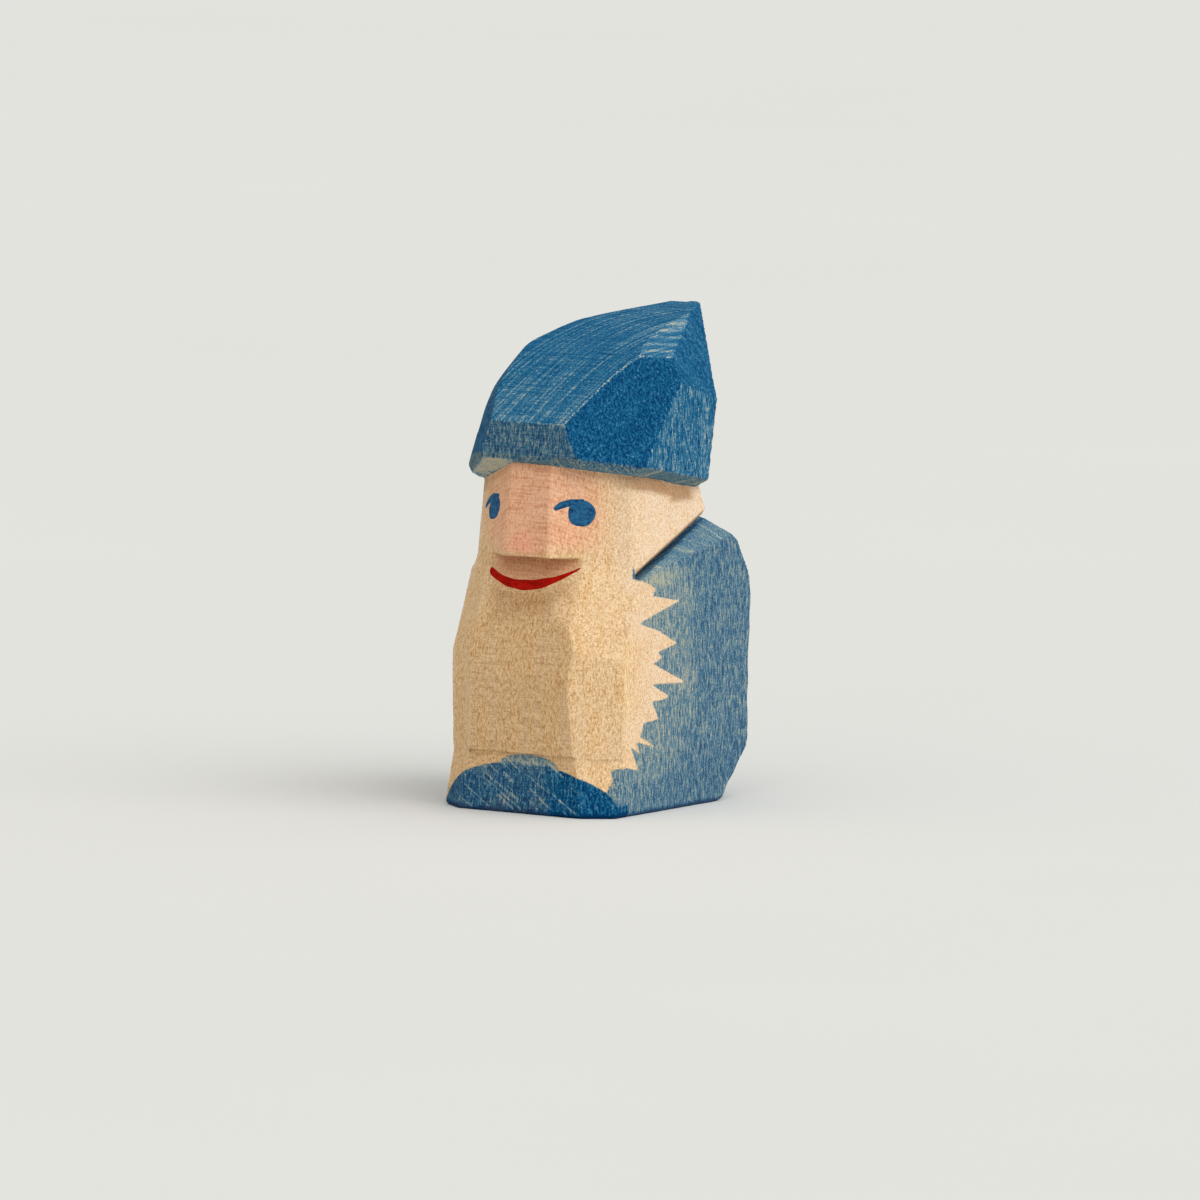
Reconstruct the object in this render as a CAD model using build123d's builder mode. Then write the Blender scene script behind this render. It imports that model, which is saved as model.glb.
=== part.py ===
"""Small hand-carved wooden gnome: one block of pale maple, sawn to a side profile and
finished with knife cuts, with the eyes and the smile laid on in opaque paint.

Millimetres, +Z up. The figure faces -Y and stands on z = 0."""

from build123d import *
import os

os.makedirs("parts", exist_ok=True)

# The board the figure is sawn from
board_thickness = 27.5
back_y = 15.2
base_front_y = -17.9

# Hat
brim_front_y = -15.4
brim_back_y = 5.5
brim_slope = 0.2
brim_bevel = 1.15
brow_half_width = 7.6
hat_band_height = 5.4
hat_fold_set_back = 0.7
crown_rise = 13.7
hat_tip_y = 15.0
hat_back_height = 7.1
hat_back_y = 7.6
brim_drop = 3.2
brim_drop_y = -8.5

# Face and head
nose_top_y = -14.6
nose_tip_y = -16.3
nose_half_width = 3.4
nose_under_z = 33.1
face_height = 12.1
lip_drop = 3.2
mouth_y = -15.6
mouth_notch_y = -13.57
jaw_y = -11.4
jaw_drop = 2.5
head_back_y = 6.0
left_set_back = 1.55
right_set_back = 0.5

# Beard and coat
beard_half_width = 7.7
beard_belly_y = -17.7
beard_belly_z = 18.0
beard_end_z = 7.4
shoulder_y = 11.3
shoulder_rise = 1.5
collar_rise = 5.2
foot_half_width = 9.9
foot_flare = 0.9
back_heel_z = 6.8
back_heel_y = 8.4

# Paint
paint_film = 0.1
eye_radius = 1.8
eye_x = 6.9
eye_rise = 6.0
smile_half_width = 7.1
smile_rise = 2.1
smile_thickness = 1.25

# Heights stack up from the underside of the nose
half_board = board_thickness / 2
brim_front_z = nose_under_z + face_height
hat_fold_z = brim_front_z + hat_band_height
tip_z = hat_fold_z + crown_rise
jaw_z = nose_under_z - jaw_drop
shoulder_z = nose_under_z + shoulder_rise
collar_z = nose_under_z + collar_rise
eye_z = nose_under_z + eye_rise
brim_back_z = brim_front_z - brim_slope * (brim_back_y - brim_front_y)
mouth_z = nose_under_z - lip_drop
smile_z = mouth_z + 0.3
smile_end_z = mouth_z + smile_rise


def knife_cut(point, normal):
    """One straight knife cut: everything on the side the normal points to is taken away."""
    split(bisect_by=Plane(origin=point, z_dir=normal), keep=Keep.BOTTOM)


def mirrored_cuts(point, normal):
    """The same cut on the figure's left (+X) and right (-X) side."""
    knife_cut(point, normal)
    knife_cut((-point[0], point[1], point[2]), (-normal[0], normal[1], normal[2]))


# Hat: the curved saw line runs from the fold over the brow up to the tip at the back.
with BuildPart() as hat_form:
    with BuildSketch(Plane.YZ):
        with BuildLine():
            crown = Spline(
                (brim_front_y + hat_fold_set_back, hat_fold_z),
                (-9.6, hat_fold_z + 0.30 * crown_rise),
                (-4.6, hat_fold_z + 0.555 * crown_rise),
                (0.5, hat_fold_z + 0.723 * crown_rise),
                (7.0, hat_fold_z + 0.861 * crown_rise),
                (hat_tip_y, tip_z),
            )
            Polyline(
                crown @ 1,
                (hat_back_y, brim_front_z + hat_back_height),
                (brim_back_y, brim_back_z),
                (brim_front_y, brim_front_z),
                crown @ 0,
            )
        make_face()
    extrude(amount=half_board, both=True)
    # Front corners: one long flat on the left side, a steeper and a flatter one on the right
    knife_cut((brow_half_width, brim_front_y, brim_front_z + 0.5), (0.679, -0.581, 0.449))
    knife_cut((-brow_half_width - 0.6, brim_front_y, brim_front_z + 0.5), (-0.679, -0.6, 0.292))
    knife_cut((-10.1, -8.0, hat_fold_z + 4.4), (-0.75, -0.514, 0.662))
    # Left side: the shoulder of the crown, and the long facet that runs up to the tip
    knife_cut((6.49, 11.92, tip_z - 0.43), (0.345, -0.237, 0.908))
    knife_cut((5.39, hat_tip_y - 0.14, tip_z + 0.43), (0.861, 0.185, 0.473))
    # Right side: the edge of the crown, and the facet behind it
    knife_cut((-9.5, -1.0, tip_z - 4.4), (-0.85, 0.0, 0.85))
    knife_cut((0.0, hat_tip_y - 1.7, tip_z - 0.2), (-0.66, 0.53, 0.53))
    chamfer(hat_form.faces().sort_by(Axis.Z)[0].edges(), length=brim_bevel)

# Right half of the brim: its underside runs down more steeply, then in under the side
with BuildPart() as brim_form:
    with BuildSketch(Plane.YZ):
        Polygon(
            (brim_front_y, brim_front_z + 0.3),
            (brim_front_y + hat_fold_set_back, brim_front_z + hat_band_height),
            (brim_back_y - 1.0, brim_front_z + hat_band_height),
            (brim_back_y - 1.0, brim_back_z + 0.5),
            (brim_drop_y, brim_front_z - brim_drop),
            align=None,
        )
    extrude(amount=-half_board)
    knife_cut((-brow_half_width - 0.6, brim_front_y, brim_front_z + 0.5), (-0.679, -0.6, 0.292))
    knife_cut((-half_board + right_set_back + 0.1, 0.0, brim_front_z - brim_drop), (-0.967, 0.0, -0.255))

# Head: forehead and nose in one flat, a cheek either side, hair down to the shoulders.
cheek_point = (nose_half_width, nose_top_y, brim_front_z - 0.2)
cheek_normal = (0.591, -0.798, 0.119)
with BuildPart() as head_form:
    with BuildSketch(Plane.YZ):
        Polygon(
            (nose_tip_y, nose_under_z),
            (nose_top_y, brim_front_z + 1.5),
            (head_back_y - 1.5, brim_back_z + 3.5),
            (head_back_y - 0.3, brim_back_z),
            (head_back_y, brim_back_z - 1.8),
            (head_back_y + 1.1, brim_back_z - 3.5),
            (jaw_y + 4.4, jaw_z + 2.3),
            (jaw_y, jaw_z),
            (mouth_notch_y, nose_under_z),
            align=None,
        )
    extrude(amount=half_board, both=True)
    mirrored_cuts(cheek_point, cheek_normal)
    knife_cut((half_board - left_set_back, 0.0, brim_front_z - 2.2), (0.994, 0.0, 0.108))
    knife_cut((-half_board + right_set_back, 0.0, brim_front_z), (-1.0, 0.0, 0.0))

# Beard and coat, with the flat sides of the board left on the coat.
with BuildPart() as coat_form:
    with BuildSketch(Plane.YZ):
        Polygon(
            (beard_belly_y + 0.4, beard_end_z),
            (back_y - 0.9, beard_end_z),
            (back_y, shoulder_z - 7.3),
            (back_y - 0.3, shoulder_z - 5.5),
            (shoulder_y + 1.0, shoulder_z - 0.7),
            (shoulder_y, shoulder_z),
            (head_back_y - 0.2, collar_z),
            (mouth_notch_y + 4.07, collar_z),
            (mouth_notch_y, nose_under_z),
            (mouth_y, mouth_z),
            (mouth_y - 1.0, mouth_z - 3.1),
            (beard_belly_y, beard_belly_z),
            align=None,
        )
    extrude(amount=half_board, both=True)
    # Sides of the beard, its upper corners and the round under the lower lip
    mirrored_cuts((beard_half_width, beard_belly_y, 12.0), (0.57, -0.821, 0.0))
    mirrored_cuts((smile_half_width - 0.1, -14.2, smile_end_z), (0.603, -0.74, 0.296))
    mirrored_cuts((3.0, mouth_y + 0.1, mouth_z + 0.2), (0.2, -0.91, 0.363))
    # Sloping shoulders, cut in under the hair
    mirrored_cuts((half_board, shoulder_y, shoulder_z), (0.816, -0.106, 0.569))

# Foot of the coat: it flares forward to the base and leaves the beard standing a little proud.
with BuildPart() as foot_form:
    with BuildSketch(Plane.YZ):
        Polygon(
            (base_front_y, 0.0),
            (back_heel_y, 0.0),
            (back_y - 0.9, back_heel_z),
            (back_y - 0.9, beard_end_z + 1.0),
            (base_front_y + foot_flare + 1.0, beard_end_z + 1.0),
            (base_front_y + foot_flare, beard_end_z),
            align=None,
        )
    extrude(amount=half_board, both=True)
    mirrored_cuts((foot_half_width, base_front_y, 0.0), (0.56, -0.8, 0.2))

with BuildPart() as carved_figure:
    add(hat_form.part)
    add(brim_form.part)
    add(head_form.part)
    add(coat_form.part)
    add(foot_form.part)
carved_figure.part.label = "carved_figure"
export_step(carved_figure.part, "parts/carved_figure.step")


def on_cheek(side):
    """A drawing plane on one cheek, centred on the eye: x towards the figure's left, y up the cheek."""
    normal = Vector(side * cheek_normal[0], cheek_normal[1], cheek_normal[2]).normalized()
    ridge = Vector(side * cheek_point[0], cheek_point[1], cheek_point[2])
    slide = normal.X * (side * eye_x - ridge.X) + normal.Z * (eye_z - ridge.Z)
    centre = (side * eye_x, ridge.Y - slide / normal.Y, eye_z)
    return Plane(origin=centre, x_dir=Vector(0, 0, 1).cross(normal), z_dir=normal)


# Round pupil with the short brow stroke that leaves it towards the figure's right
with BuildSketch() as eye_outline:
    Circle(eye_radius)
    with BuildLine():
        upper = Spline((0.7, eye_radius - 0.2), (-1.5, eye_radius + 0.05), (-eye_radius * 2, 0.55))
        lower = Spline((0.1 - eye_radius * 2, 0.2), (-1.7, eye_radius - 0.65), (0.3, 0.9))
        Line(upper @ 1, lower @ 0)
        Line(lower @ 1, upper @ 0)
    make_face()

with BuildPart() as left_eye_paint:
    with BuildSketch(on_cheek(1)):
        add(eye_outline.sketch)
    extrude(amount=paint_film)
left_eye_paint.part.label = "left_eye_paint"
export_step(left_eye_paint.part, "parts/left_eye_paint.step")

with BuildPart() as right_eye_paint:
    with BuildSketch(on_cheek(-1)):
        add(eye_outline.sketch)
    extrude(amount=paint_film)
right_eye_paint.part.label = "right_eye_paint"
export_step(right_eye_paint.part, "parts/right_eye_paint.step")

# Smile: a curved stroke seen from the front, laid on whatever wood it covers
with BuildPart() as smile_stroke:
    with BuildSketch(Plane.XZ.offset(10)):
        with BuildLine():
            lip_top = Spline(
                (-smile_half_width, smile_end_z),
                (-4.2, smile_z + 0.4),
                (0.0, smile_z),
                (4.2, smile_z + 0.5),
                (smile_half_width, smile_end_z),
            )
            lip_bottom = Spline(
                (smile_half_width, smile_end_z - 0.2),
                (4.2, smile_z + 0.95 - smile_thickness),
                (0.3, smile_z - smile_thickness),
                (-4.2, smile_z + 0.65 - smile_thickness),
                (-smile_half_width, smile_end_z - 0.7),
            )
            Line(lip_top @ 1, lip_bottom @ 0)
            Line(lip_bottom @ 1, lip_top @ 0)
        make_face()
    extrude(amount=10)

with BuildPart() as mouth_paint:
    add(smile_stroke.part)
    add(coat_form.part.moved(Location((0, -paint_film, 0))), mode=Mode.INTERSECT)
    add(carved_figure.part, mode=Mode.SUBTRACT)
mouth_paint.part.label = "mouth_paint"
export_step(mouth_paint.part, "parts/mouth_paint.step")
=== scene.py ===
"""Carved wooden gnome: the block's surface, its stains and its painted face.

The block is described as it was made: a board sawn to a side profile and cut with a knife.
Every cut is a plane; the surface is where the rounded union of the cut forms is zero."""
import math

import bpy
import numpy as np
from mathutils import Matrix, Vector


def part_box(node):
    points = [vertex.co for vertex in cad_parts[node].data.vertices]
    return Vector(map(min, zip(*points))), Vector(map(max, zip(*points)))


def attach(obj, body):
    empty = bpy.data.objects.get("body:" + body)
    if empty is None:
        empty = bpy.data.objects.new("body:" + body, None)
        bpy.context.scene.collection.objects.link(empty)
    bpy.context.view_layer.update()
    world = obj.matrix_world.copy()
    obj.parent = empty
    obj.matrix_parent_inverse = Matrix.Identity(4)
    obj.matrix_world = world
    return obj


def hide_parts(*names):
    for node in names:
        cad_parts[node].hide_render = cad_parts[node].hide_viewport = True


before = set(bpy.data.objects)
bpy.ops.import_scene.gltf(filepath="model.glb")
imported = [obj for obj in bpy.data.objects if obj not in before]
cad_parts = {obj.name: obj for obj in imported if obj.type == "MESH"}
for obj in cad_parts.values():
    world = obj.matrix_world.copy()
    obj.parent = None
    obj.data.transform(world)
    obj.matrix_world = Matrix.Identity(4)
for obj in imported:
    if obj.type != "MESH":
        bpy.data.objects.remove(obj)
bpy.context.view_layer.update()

MM = 0.001

# ---------------------------------------------------------------- the block's sizes, in mm

lowest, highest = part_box("carved_figure")
HALF_BOARD, BACK_Y, TIP_Z = (round(v / MM, 2) for v in highest)
BASE_Y = round(lowest[1] / MM, 2)

BRIM_Y, BRIM_Z, BRIM_SLOPE, BRIM_BEVEL = -15.4, 45.2, 0.2, 1.15
BRIM_BACK_Y = 5.5
BRIM_BACK_Z = BRIM_Z - BRIM_SLOPE * (BRIM_BACK_Y - BRIM_Y)
BRIM_DROP_Z = BRIM_Z - 3.2
CAP_FOLD_Y, CAP_FOLD_Z = 7.6, 52.3
NOSE_Z, NOTCH_Y = 33.1, -13.57
MOUTH_Y, MOUTH_Z = -15.6, 29.9
SHOULDER_Y, SHOULDER_Z = 11.3, 34.6
BEARD_END = 7.4
CHEEK_NORMAL = (0.591, -0.798, 0.119)

EDGE_ROUND = 0.06  # how far a worn knife edge is rubbed down
CAP_ROUND = 0.45  # the same for the right side of the cap
FOLD_ROUND = 0.1  # how round the bottom of a hollow fold is
JOIN_ROUND = 0.05  # how round the hollow is where two forms meet
BASE_RIM = 0.26  # bevel rubbed on the rim of the base
GRID = 0.315  # spacing of the mesh


def cut(point, normal):
    """A plane as (unit normal, distance): wood is left where normal . p < distance."""
    n = np.array(normal, float)
    n /= np.linalg.norm(n)
    return n, float(n @ np.array(point, float))


def pair(point, normal):
    """The same cut on the left and on the right of the figure."""
    return [cut(point, normal), cut((-point[0], point[1], point[2]), (-normal[0], normal[1], normal[2]))]


def bevel(a, b, length):
    """The plane that takes an equal bevel of the given length off the edge between two cuts."""
    c = float(a[0] @ b[0])
    n = a[0] + b[0]
    k = math.sqrt(2.0 + 2.0 * c)
    return n / k, (a[1] + b[1]) / k - length * math.sqrt((1.0 - c) / 2.0)


def profile_cuts(outline):
    """Cuts square to the board for a convex side profile of (y, z) corners, anticlockwise seen from +X."""
    cuts = []
    for (y0, z0), (y1, z1) in zip(outline, outline[1:] + outline[:1]):
        cuts.append(cut((0.0, y0, z0), (0.0, z1 - z0, y0 - y1)))
    return cuts


left_side, right_side = pair((HALF_BOARD, 0, 0), (1, 0, 0))
SIDES = [left_side, right_side]

# Cap. Its back leans out at a fold, and its crown is a saw line of its own
cap_under = cut((0, BRIM_Y, BRIM_Z), (0, -BRIM_SLOPE, -1))
cap_front = cut((0, BRIM_Y, BRIM_Z), (0, -5.4, 0.7))
cap_back = cut((0, BRIM_BACK_Y, BRIM_BACK_Z), (0, CAP_FOLD_Z - BRIM_BACK_Z, -2.1))
cap_nape = cut((0, CAP_FOLD_Y, CAP_FOLD_Z), (0, TIP_Z - CAP_FOLD_Z, -7.4))
cap_left_corner = cut((7.6, BRIM_Y, BRIM_Z + 0.5), (0.679, -0.581, 0.449))
cap_right_corner = cut((-8.2, BRIM_Y, BRIM_Z + 0.5), (-0.679, -0.6, 0.292))

# Each cut of the cap with how deep the stain sits on it, from 0, bare, to 1, soaked
CAP_CUTS = {
    "left_side": (left_side, 0.68),
    "right_side": (right_side, 0.7),
    "left_corner": (cap_left_corner, 1.0),
    "right_corner": (cap_right_corner, 0.86),
    "underside": (cap_under, 0.6),
    "front_band": (cap_front, 0.72),
    "tip_shoulder": (cut((6.49, 11.92, TIP_Z - 0.43), (0.345, -0.237, 0.908)), 0.78),
    "tip_side": (cut((5.39, 14.86, TIP_Z + 0.43), (0.861, 0.185, 0.473)), 0.92),
    "right_edge": (cut((-9.5, -1.0, TIP_Z - 4.4), (-0.85, 0.0, 0.85)), 0.8),
    "right_back": (cut((0.0, 13.3, TIP_Z - 0.2), (-0.66, 0.53, 0.53)), 0.84),
    "right_brow": (cut((-10.1, -8.0, BRIM_Z + 9.8), (-0.75, -0.514, 0.662)), 0.84),
}
CAP_FACETS = list(CAP_CUTS)
BRIM_BEVELS = [(left_side, 0.56), (right_side, 0.56), (cap_left_corner, 0.56), (cap_right_corner, 0.56)]
BRIM_BEVELS += [(cap_front, 0.6), (cap_back, 0.5)]
CAP = [plane for plane, stain in CAP_CUTS.values()]
CAP += [bevel(cap_under, plane, BRIM_BEVEL) for plane, stain in BRIM_BEVELS]
# The right side of the cap is rubbed rounder than the rest
CAP_WORN = [CAP_CUTS[name][0] for name in ("right_corner", "right_brow", "right_edge", "right_back")]

# Right half of the brim: its underside runs down more steeply, then in under the side
brim_under = cut((0, BRIM_Y, BRIM_Z + 0.3), (0, -3.5, -6.9))
BRIM_DROP = [
    right_side,
    cap_right_corner,
    cap_front,
    brim_under,
    cut((0, -8.5, BRIM_DROP_Z), (0, -0.038, -1)),
    cut((-HALF_BOARD + 0.6, 0.0, BRIM_DROP_Z), (-0.967, 0, -0.255)),
    bevel(brim_under, cap_right_corner, 0.8),
    cut((0, 0, BRIM_Z + 3.0), (0, 0, 1)),
    cut((0, 3.0, 0), (0, 1, 0)),
    cut((3.4, BRIM_Y, 0), (1, -0.5, 0)),
]

# Head: forehead and nose in one flat, a cheek either side
CHEEKS = pair((3.4, -14.6, 45.0), CHEEK_NORMAL)
HEAD_SIDES = [
    cut((HALF_BOARD - 1.55, 0, 43.0), (0.994, 0, 0.108)),
    cut((-HALF_BOARD + 0.5, 0, 0), (-1, 0, 0)),
]
HEAD_BACK_TOP = [cut((0, 5.7, 41.02), (0, 3.5, 1.2)), cut((0, 0, BRIM_Z + 1.0), (0, 0, 1))]
HEAD = [cut((0, -16.3, NOSE_Z), (0, -13.6, 1.7))] + CHEEKS + HEAD_SIDES + HEAD_BACK_TOP
neck = cut((0, 5.7, 41.02), (0, 1.8, 0.3))
hair_flare = cut((0, 6.0, 39.22), (0, 1.7, 1.1))
jaw = cut((0, -11.4, 30.6), (0, 2.3, -4.4))
hair_hem = cut((0, 7.1, 37.52), (0, 6.62, -16.15))
temples = [bevel(cheek, side, 1.1) for cheek, side in zip(CHEEKS, HEAD_SIDES)]
# The face ends at the saw cut under the nose; the hair and jaw hang lower behind it
FACE = HEAD + [cut((0, 0, NOSE_Z), (0, 0, -1)), cut((0, -8.0, NOSE_Z), (0, 1, 0))] + temples
HAIR = HEAD + [cut((0, NOTCH_Y, NOSE_Z), (0, -2.5, -2.17))]
HAIR += [bevel(side, hair_hem, 1.1) for side in HEAD_SIDES] + temples

BEARD_AND_COAT = SIDES + profile_cuts([
    (BASE_Y + 0.6, BEARD_END),
    (BACK_Y - 0.9, BEARD_END),
    (BACK_Y, 27.3),
    (BACK_Y - 0.3, 29.1),
    (SHOULDER_Y + 1.0, 33.9),
    (SHOULDER_Y, SHOULDER_Z),
    (5.8, 38.3),
    (-9.5, 38.3),
    (NOTCH_Y, NOSE_Z),
    (MOUTH_Y, MOUTH_Z),
    (MOUTH_Y - 1.0, MOUTH_Z - 3.1),
    (-17.7, 18.0),
])
# Sides of the beard, its upper corners, the round under the lip, and the sloping shoulders
BEARD_AND_COAT += pair((7.7, -17.7, 12.0), (0.57, -0.821, 0.0))
BEARD_AND_COAT += pair((7.0, -14.2, 32.0), (0.603, -0.74, 0.296))
BEARD_AND_COAT += pair((3.0, MOUTH_Y + 0.1, MOUTH_Z + 0.2), (0.2, -0.91, 0.363))
BEARD_AND_COAT += pair((HALF_BOARD, SHOULDER_Y, SHOULDER_Z), (0.816, -0.106, 0.569))

# The foot's profile runs on below the floor, where block() cuts it off flat
FOOT = SIDES + pair((9.9, BASE_Y, 0.0), (0.56, -0.8, 0.2)) + profile_cuts([
    (BASE_Y - 0.365, -3.0),
    (5.8, -3.0),
    (BACK_Y - 0.9, 6.8),
    (BACK_Y - 0.9, BEARD_END + 1.0),
    (BASE_Y + 1.9, BEARD_END + 1.0),
    (BASE_Y + 0.9, BEARD_END),
])

# Points of the sawn line of the crown, from the fold over the brow to the tip
CROWN_Y = np.array([-14.7, -9.6, -4.6, 0.5, 7.0, 15.0])
CROWN_Z = np.array([50.6, 54.71, 58.2, 60.5, 62.4, 64.34])


# ---------------------------------------------------------------- the block's surface

def soft_max(values, r):
    """Rounded maximum: r times the log of the summed exponentials of the values over r."""
    top = np.maximum.reduce(values)
    total = np.zeros_like(top)
    for v in values:
        total += np.exp(np.maximum((v - top) / r, -60.0))
    return top + r * np.log(total)


def natural_curve(xs, zs):
    """Second derivatives of the natural cubic through the given points."""
    n = len(xs)
    a = np.eye(n)
    b = np.zeros(n)
    h = np.diff(xs)
    for i in range(1, n - 1):
        a[i, i - 1], a[i, i], a[i, i + 1] = h[i - 1], 2 * (h[i - 1] + h[i]), h[i]
        b[i] = 6 * ((zs[i + 1] - zs[i]) / h[i] - (zs[i] - zs[i - 1]) / h[i - 1])
    return np.linalg.solve(a, b)


CROWN_M = natural_curve(CROWN_Y, CROWN_Z)


def crown(y):
    """Height and slope of the sawn crown line at y; beyond its ends it runs on straight."""
    yc = np.clip(y, CROWN_Y[0], CROWN_Y[-1])
    i = np.clip(np.searchsorted(CROWN_Y, yc) - 1, 0, len(CROWN_Y) - 2)
    h = CROWN_Y[i + 1] - CROWN_Y[i]
    a = (CROWN_Y[i + 1] - yc) / h
    b = 1 - a
    m0, m1, z0, z1 = CROWN_M[i], CROWN_M[i + 1], CROWN_Z[i], CROWN_Z[i + 1]
    z = a * z0 + b * z1 + ((a**3 - a) * m0 + (b**3 - b) * m1) * h * h / 6
    slope = (z1 - z0) / h + ((3 * b * b - 1) * m1 - (3 * a * a - 1) * m0) * h / 6
    return z + slope * (y - yc), slope


def ripple(p, seed, wavelength, stretch=(1, 1, 1), count=14):
    """Smooth wandering value in 0..1: the mean of sines with seeded directions and phases."""
    rng = np.random.default_rng(seed)
    total = np.zeros(len(p))
    for _ in range(count):
        d = rng.normal(size=3)
        d *= rng.uniform(0.6, 1.5) / np.linalg.norm(d) / np.array(stretch)
        total += np.sin(p @ (d * 2 * math.pi / wavelength) + rng.uniform(0, 2 * math.pi))
    return 0.5 + 0.5 * np.clip(total / math.sqrt(count) / 1.5, -1, 1)


def distances(p, cuts):
    """Distance of points outside each of a list of cuts."""
    return [p @ n - d for n, d in cuts]


def either(p, a, b):
    """Distance from two cuts that meet in a hollow fold: the rounded lesser of the two."""
    return -soft_max([-(p @ a[0] - a[1]), -(p @ b[0] - b[1])], FOLD_ROUND)


def cap_curves(p):
    """Distances from the two sides of the cap that no single plane gives: its back, which
    leans out at a fold half way up, and the curved saw line of the crown."""
    z, slope = crown(p[:, 1])
    return [either(p, cap_back, cap_nape), (p[:, 2] - z) / np.sqrt(1 + slope**2)]


def shoulder_notch(p):
    """Distance outside the thin wedge taken off each shoulder, under the hem of the hair: below a
    slanting plane, outside 11.2 mm from the middle, and behind a plane across the front corner."""
    x, y, z = np.abs(p[:, 0]), p[:, 1], p[:, 2]
    over = (30.6 - z + 0.4 * (y + 9.05) + 0.15 * (x - 12.2)) / 1.087
    return soft_max([over, 11.2 - x, 0.8 * (-9.6 - y) + 0.6 * (12.9 - x)], EDGE_ROUND)


def forms(p):
    """Signed distance, in mm, of points from each of the four rounded forms of the block."""
    def convex(cuts, extra=()):
        return soft_max(distances(p, cuts) + list(extra), EDGE_ROUND)

    worn = soft_max(distances(p, CAP_WORN), CAP_ROUND)
    cap = np.minimum(convex(CAP, cap_curves(p) + [worn]), convex(BRIM_DROP))
    hair_back = [either(p, neck, hair_flare)]
    head = np.minimum(convex(FACE, hair_back), convex(HAIR, hair_back + [either(p, jaw, hair_hem)]))
    coat = np.maximum(convex(BEARD_AND_COAT), -shoulder_notch(p))
    return cap, head, coat, convex(FOOT)


def knife_wander(p):
    """How far a knife cut strays from its plane here, in mm: long shallow scoops and small flats."""
    long_scoops = ripple(p, 3, 7.0, (1.0, 1.0, 2.2))
    flats = ripple(p, 8, 2.6, (1.0, 1.0, 1.6))
    calm_at_tip = np.clip((TIP_Z - p[:, 2]) / 6.0, 0.25, 1.0)
    return calm_at_tip * (0.12 * long_scoops + 0.05 * flats)


def scored_line(p):
    """Distance from the shallow line that closes the beard above the foot: a wavering round
    groove, 0.33 mm in radius, that stops 9.6 mm either side of the middle."""
    x, y, z = p.T
    groove = np.hypot(z - BEARD_END - 0.08 * np.sin(0.9 * x), y - BASE_Y - 0.75) - 0.33
    return np.maximum(groove, np.abs(x) - 9.6)


def block(p):
    """Signed distance of points from the whole block's surface: the union of its forms, strayed
    by the knife, less the scored line, cut flat at the base with a small bevel on its rim."""
    whole = -soft_max([-form for form in forms(p)], JOIN_ROUND) + knife_wander(p)
    whole = np.maximum(whole, -scored_line(p))
    return soft_max([whole, -p[:, 2], 0.7071 * (whole - p[:, 2]) + BASE_RIM], 0.02)


def gradient(p, step=0.03):
    """Outward direction of the surface at each point, by central differences."""
    g = np.empty_like(p)
    for i in range(3):
        d = np.zeros(3)
        d[i] = step
        g[:, i] = (block(p + d) - block(p - d)) / (2 * step)
    return g


def settle(p, rounds):
    """Move points along the gradient onto the block's surface."""
    for _ in range(rounds):
        g = gradient(p)
        p = p - np.clip(block(p) / np.maximum((g**2).sum(1), 0.3), -0.4, 0.4)[:, None] * g
    return p


def cell_points(values):
    """Which grid cells the surface crosses, and the mean of the crossings on each one's edges,
    as a place within the cell."""
    inside = values < 0
    total = np.zeros([n - 1 for n in values.shape] + [3])
    count = np.zeros(total.shape[:3])
    for corner in np.ndindex(2, 2, 2):
        for axis in range(3):
            if corner[axis]:
                continue
            opposite = list(corner)
            opposite[axis] = 1
            a = tuple(slice(o, n - 1 + o) for o, n in zip(corner, values.shape))
            b = tuple(slice(o, n - 1 + o) for o, n in zip(opposite, values.shape))
            crossing = inside[a] != inside[b]
            along = values[a] / np.where(crossing, values[a] - values[b], 1.0)
            for k in range(3):
                total[..., k] += np.where(crossing, corner[k] + (along if k == axis else 0.0), 0.0)
            count += crossing
    used = count > 0
    return used, total[used] / count[used][:, None]


def cell_quads(inside, number):
    """One quad for each grid edge that the surface crosses, round the four cells that share it."""
    quads = []
    for axis in range(3):
        u, v = (axis + 1) % 3, (axis + 2) % 3
        near, far = [slice(1, -1)] * 3, [slice(1, -1)] * 3
        near[axis], far[axis] = slice(0, -1), slice(1, None)
        here, there = inside[tuple(near)], inside[tuple(far)]
        edge = np.argwhere(here != there)
        edge[:, [u, v]] += 1
        ring = []
        for du, dv in ((-1, -1), (0, -1), (0, 0), (-1, 0)):
            cell = edge.copy()
            cell[:, u] += du
            cell[:, v] += dv
            ring.append(number[tuple(cell.T)])
        ring = np.stack(ring, 1)
        flip = ~here[here != there]
        ring[flip] = ring[flip][:, ::-1]
        quads.append(ring)
    return np.concatenate(quads)


def even_out(p, quads):
    """Twice, slide each vertex along the surface half way to the mean of its neighbours."""
    ends = np.concatenate([quads[:, [i, (i + 1) % 4]] for i in range(4)])
    near = np.bincount(ends[:, 0], minlength=len(p)) + np.bincount(ends[:, 1], minlength=len(p))
    for _ in range(2):
        mean = np.zeros_like(p)
        for k in range(3):
            mean[:, k] = np.bincount(ends[:, 0], p[ends[:, 1], k], len(p))
            mean[:, k] += np.bincount(ends[:, 1], p[ends[:, 0], k], len(p))
        mean /= near[:, None]
        n = gradient(p)
        n /= np.maximum(np.linalg.norm(n, axis=1), 1e-6)[:, None]
        move = mean - p
        move -= (move * n).sum(1)[:, None] * n
        p = settle(p + 0.5 * move, rounds=1)
    return p


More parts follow.
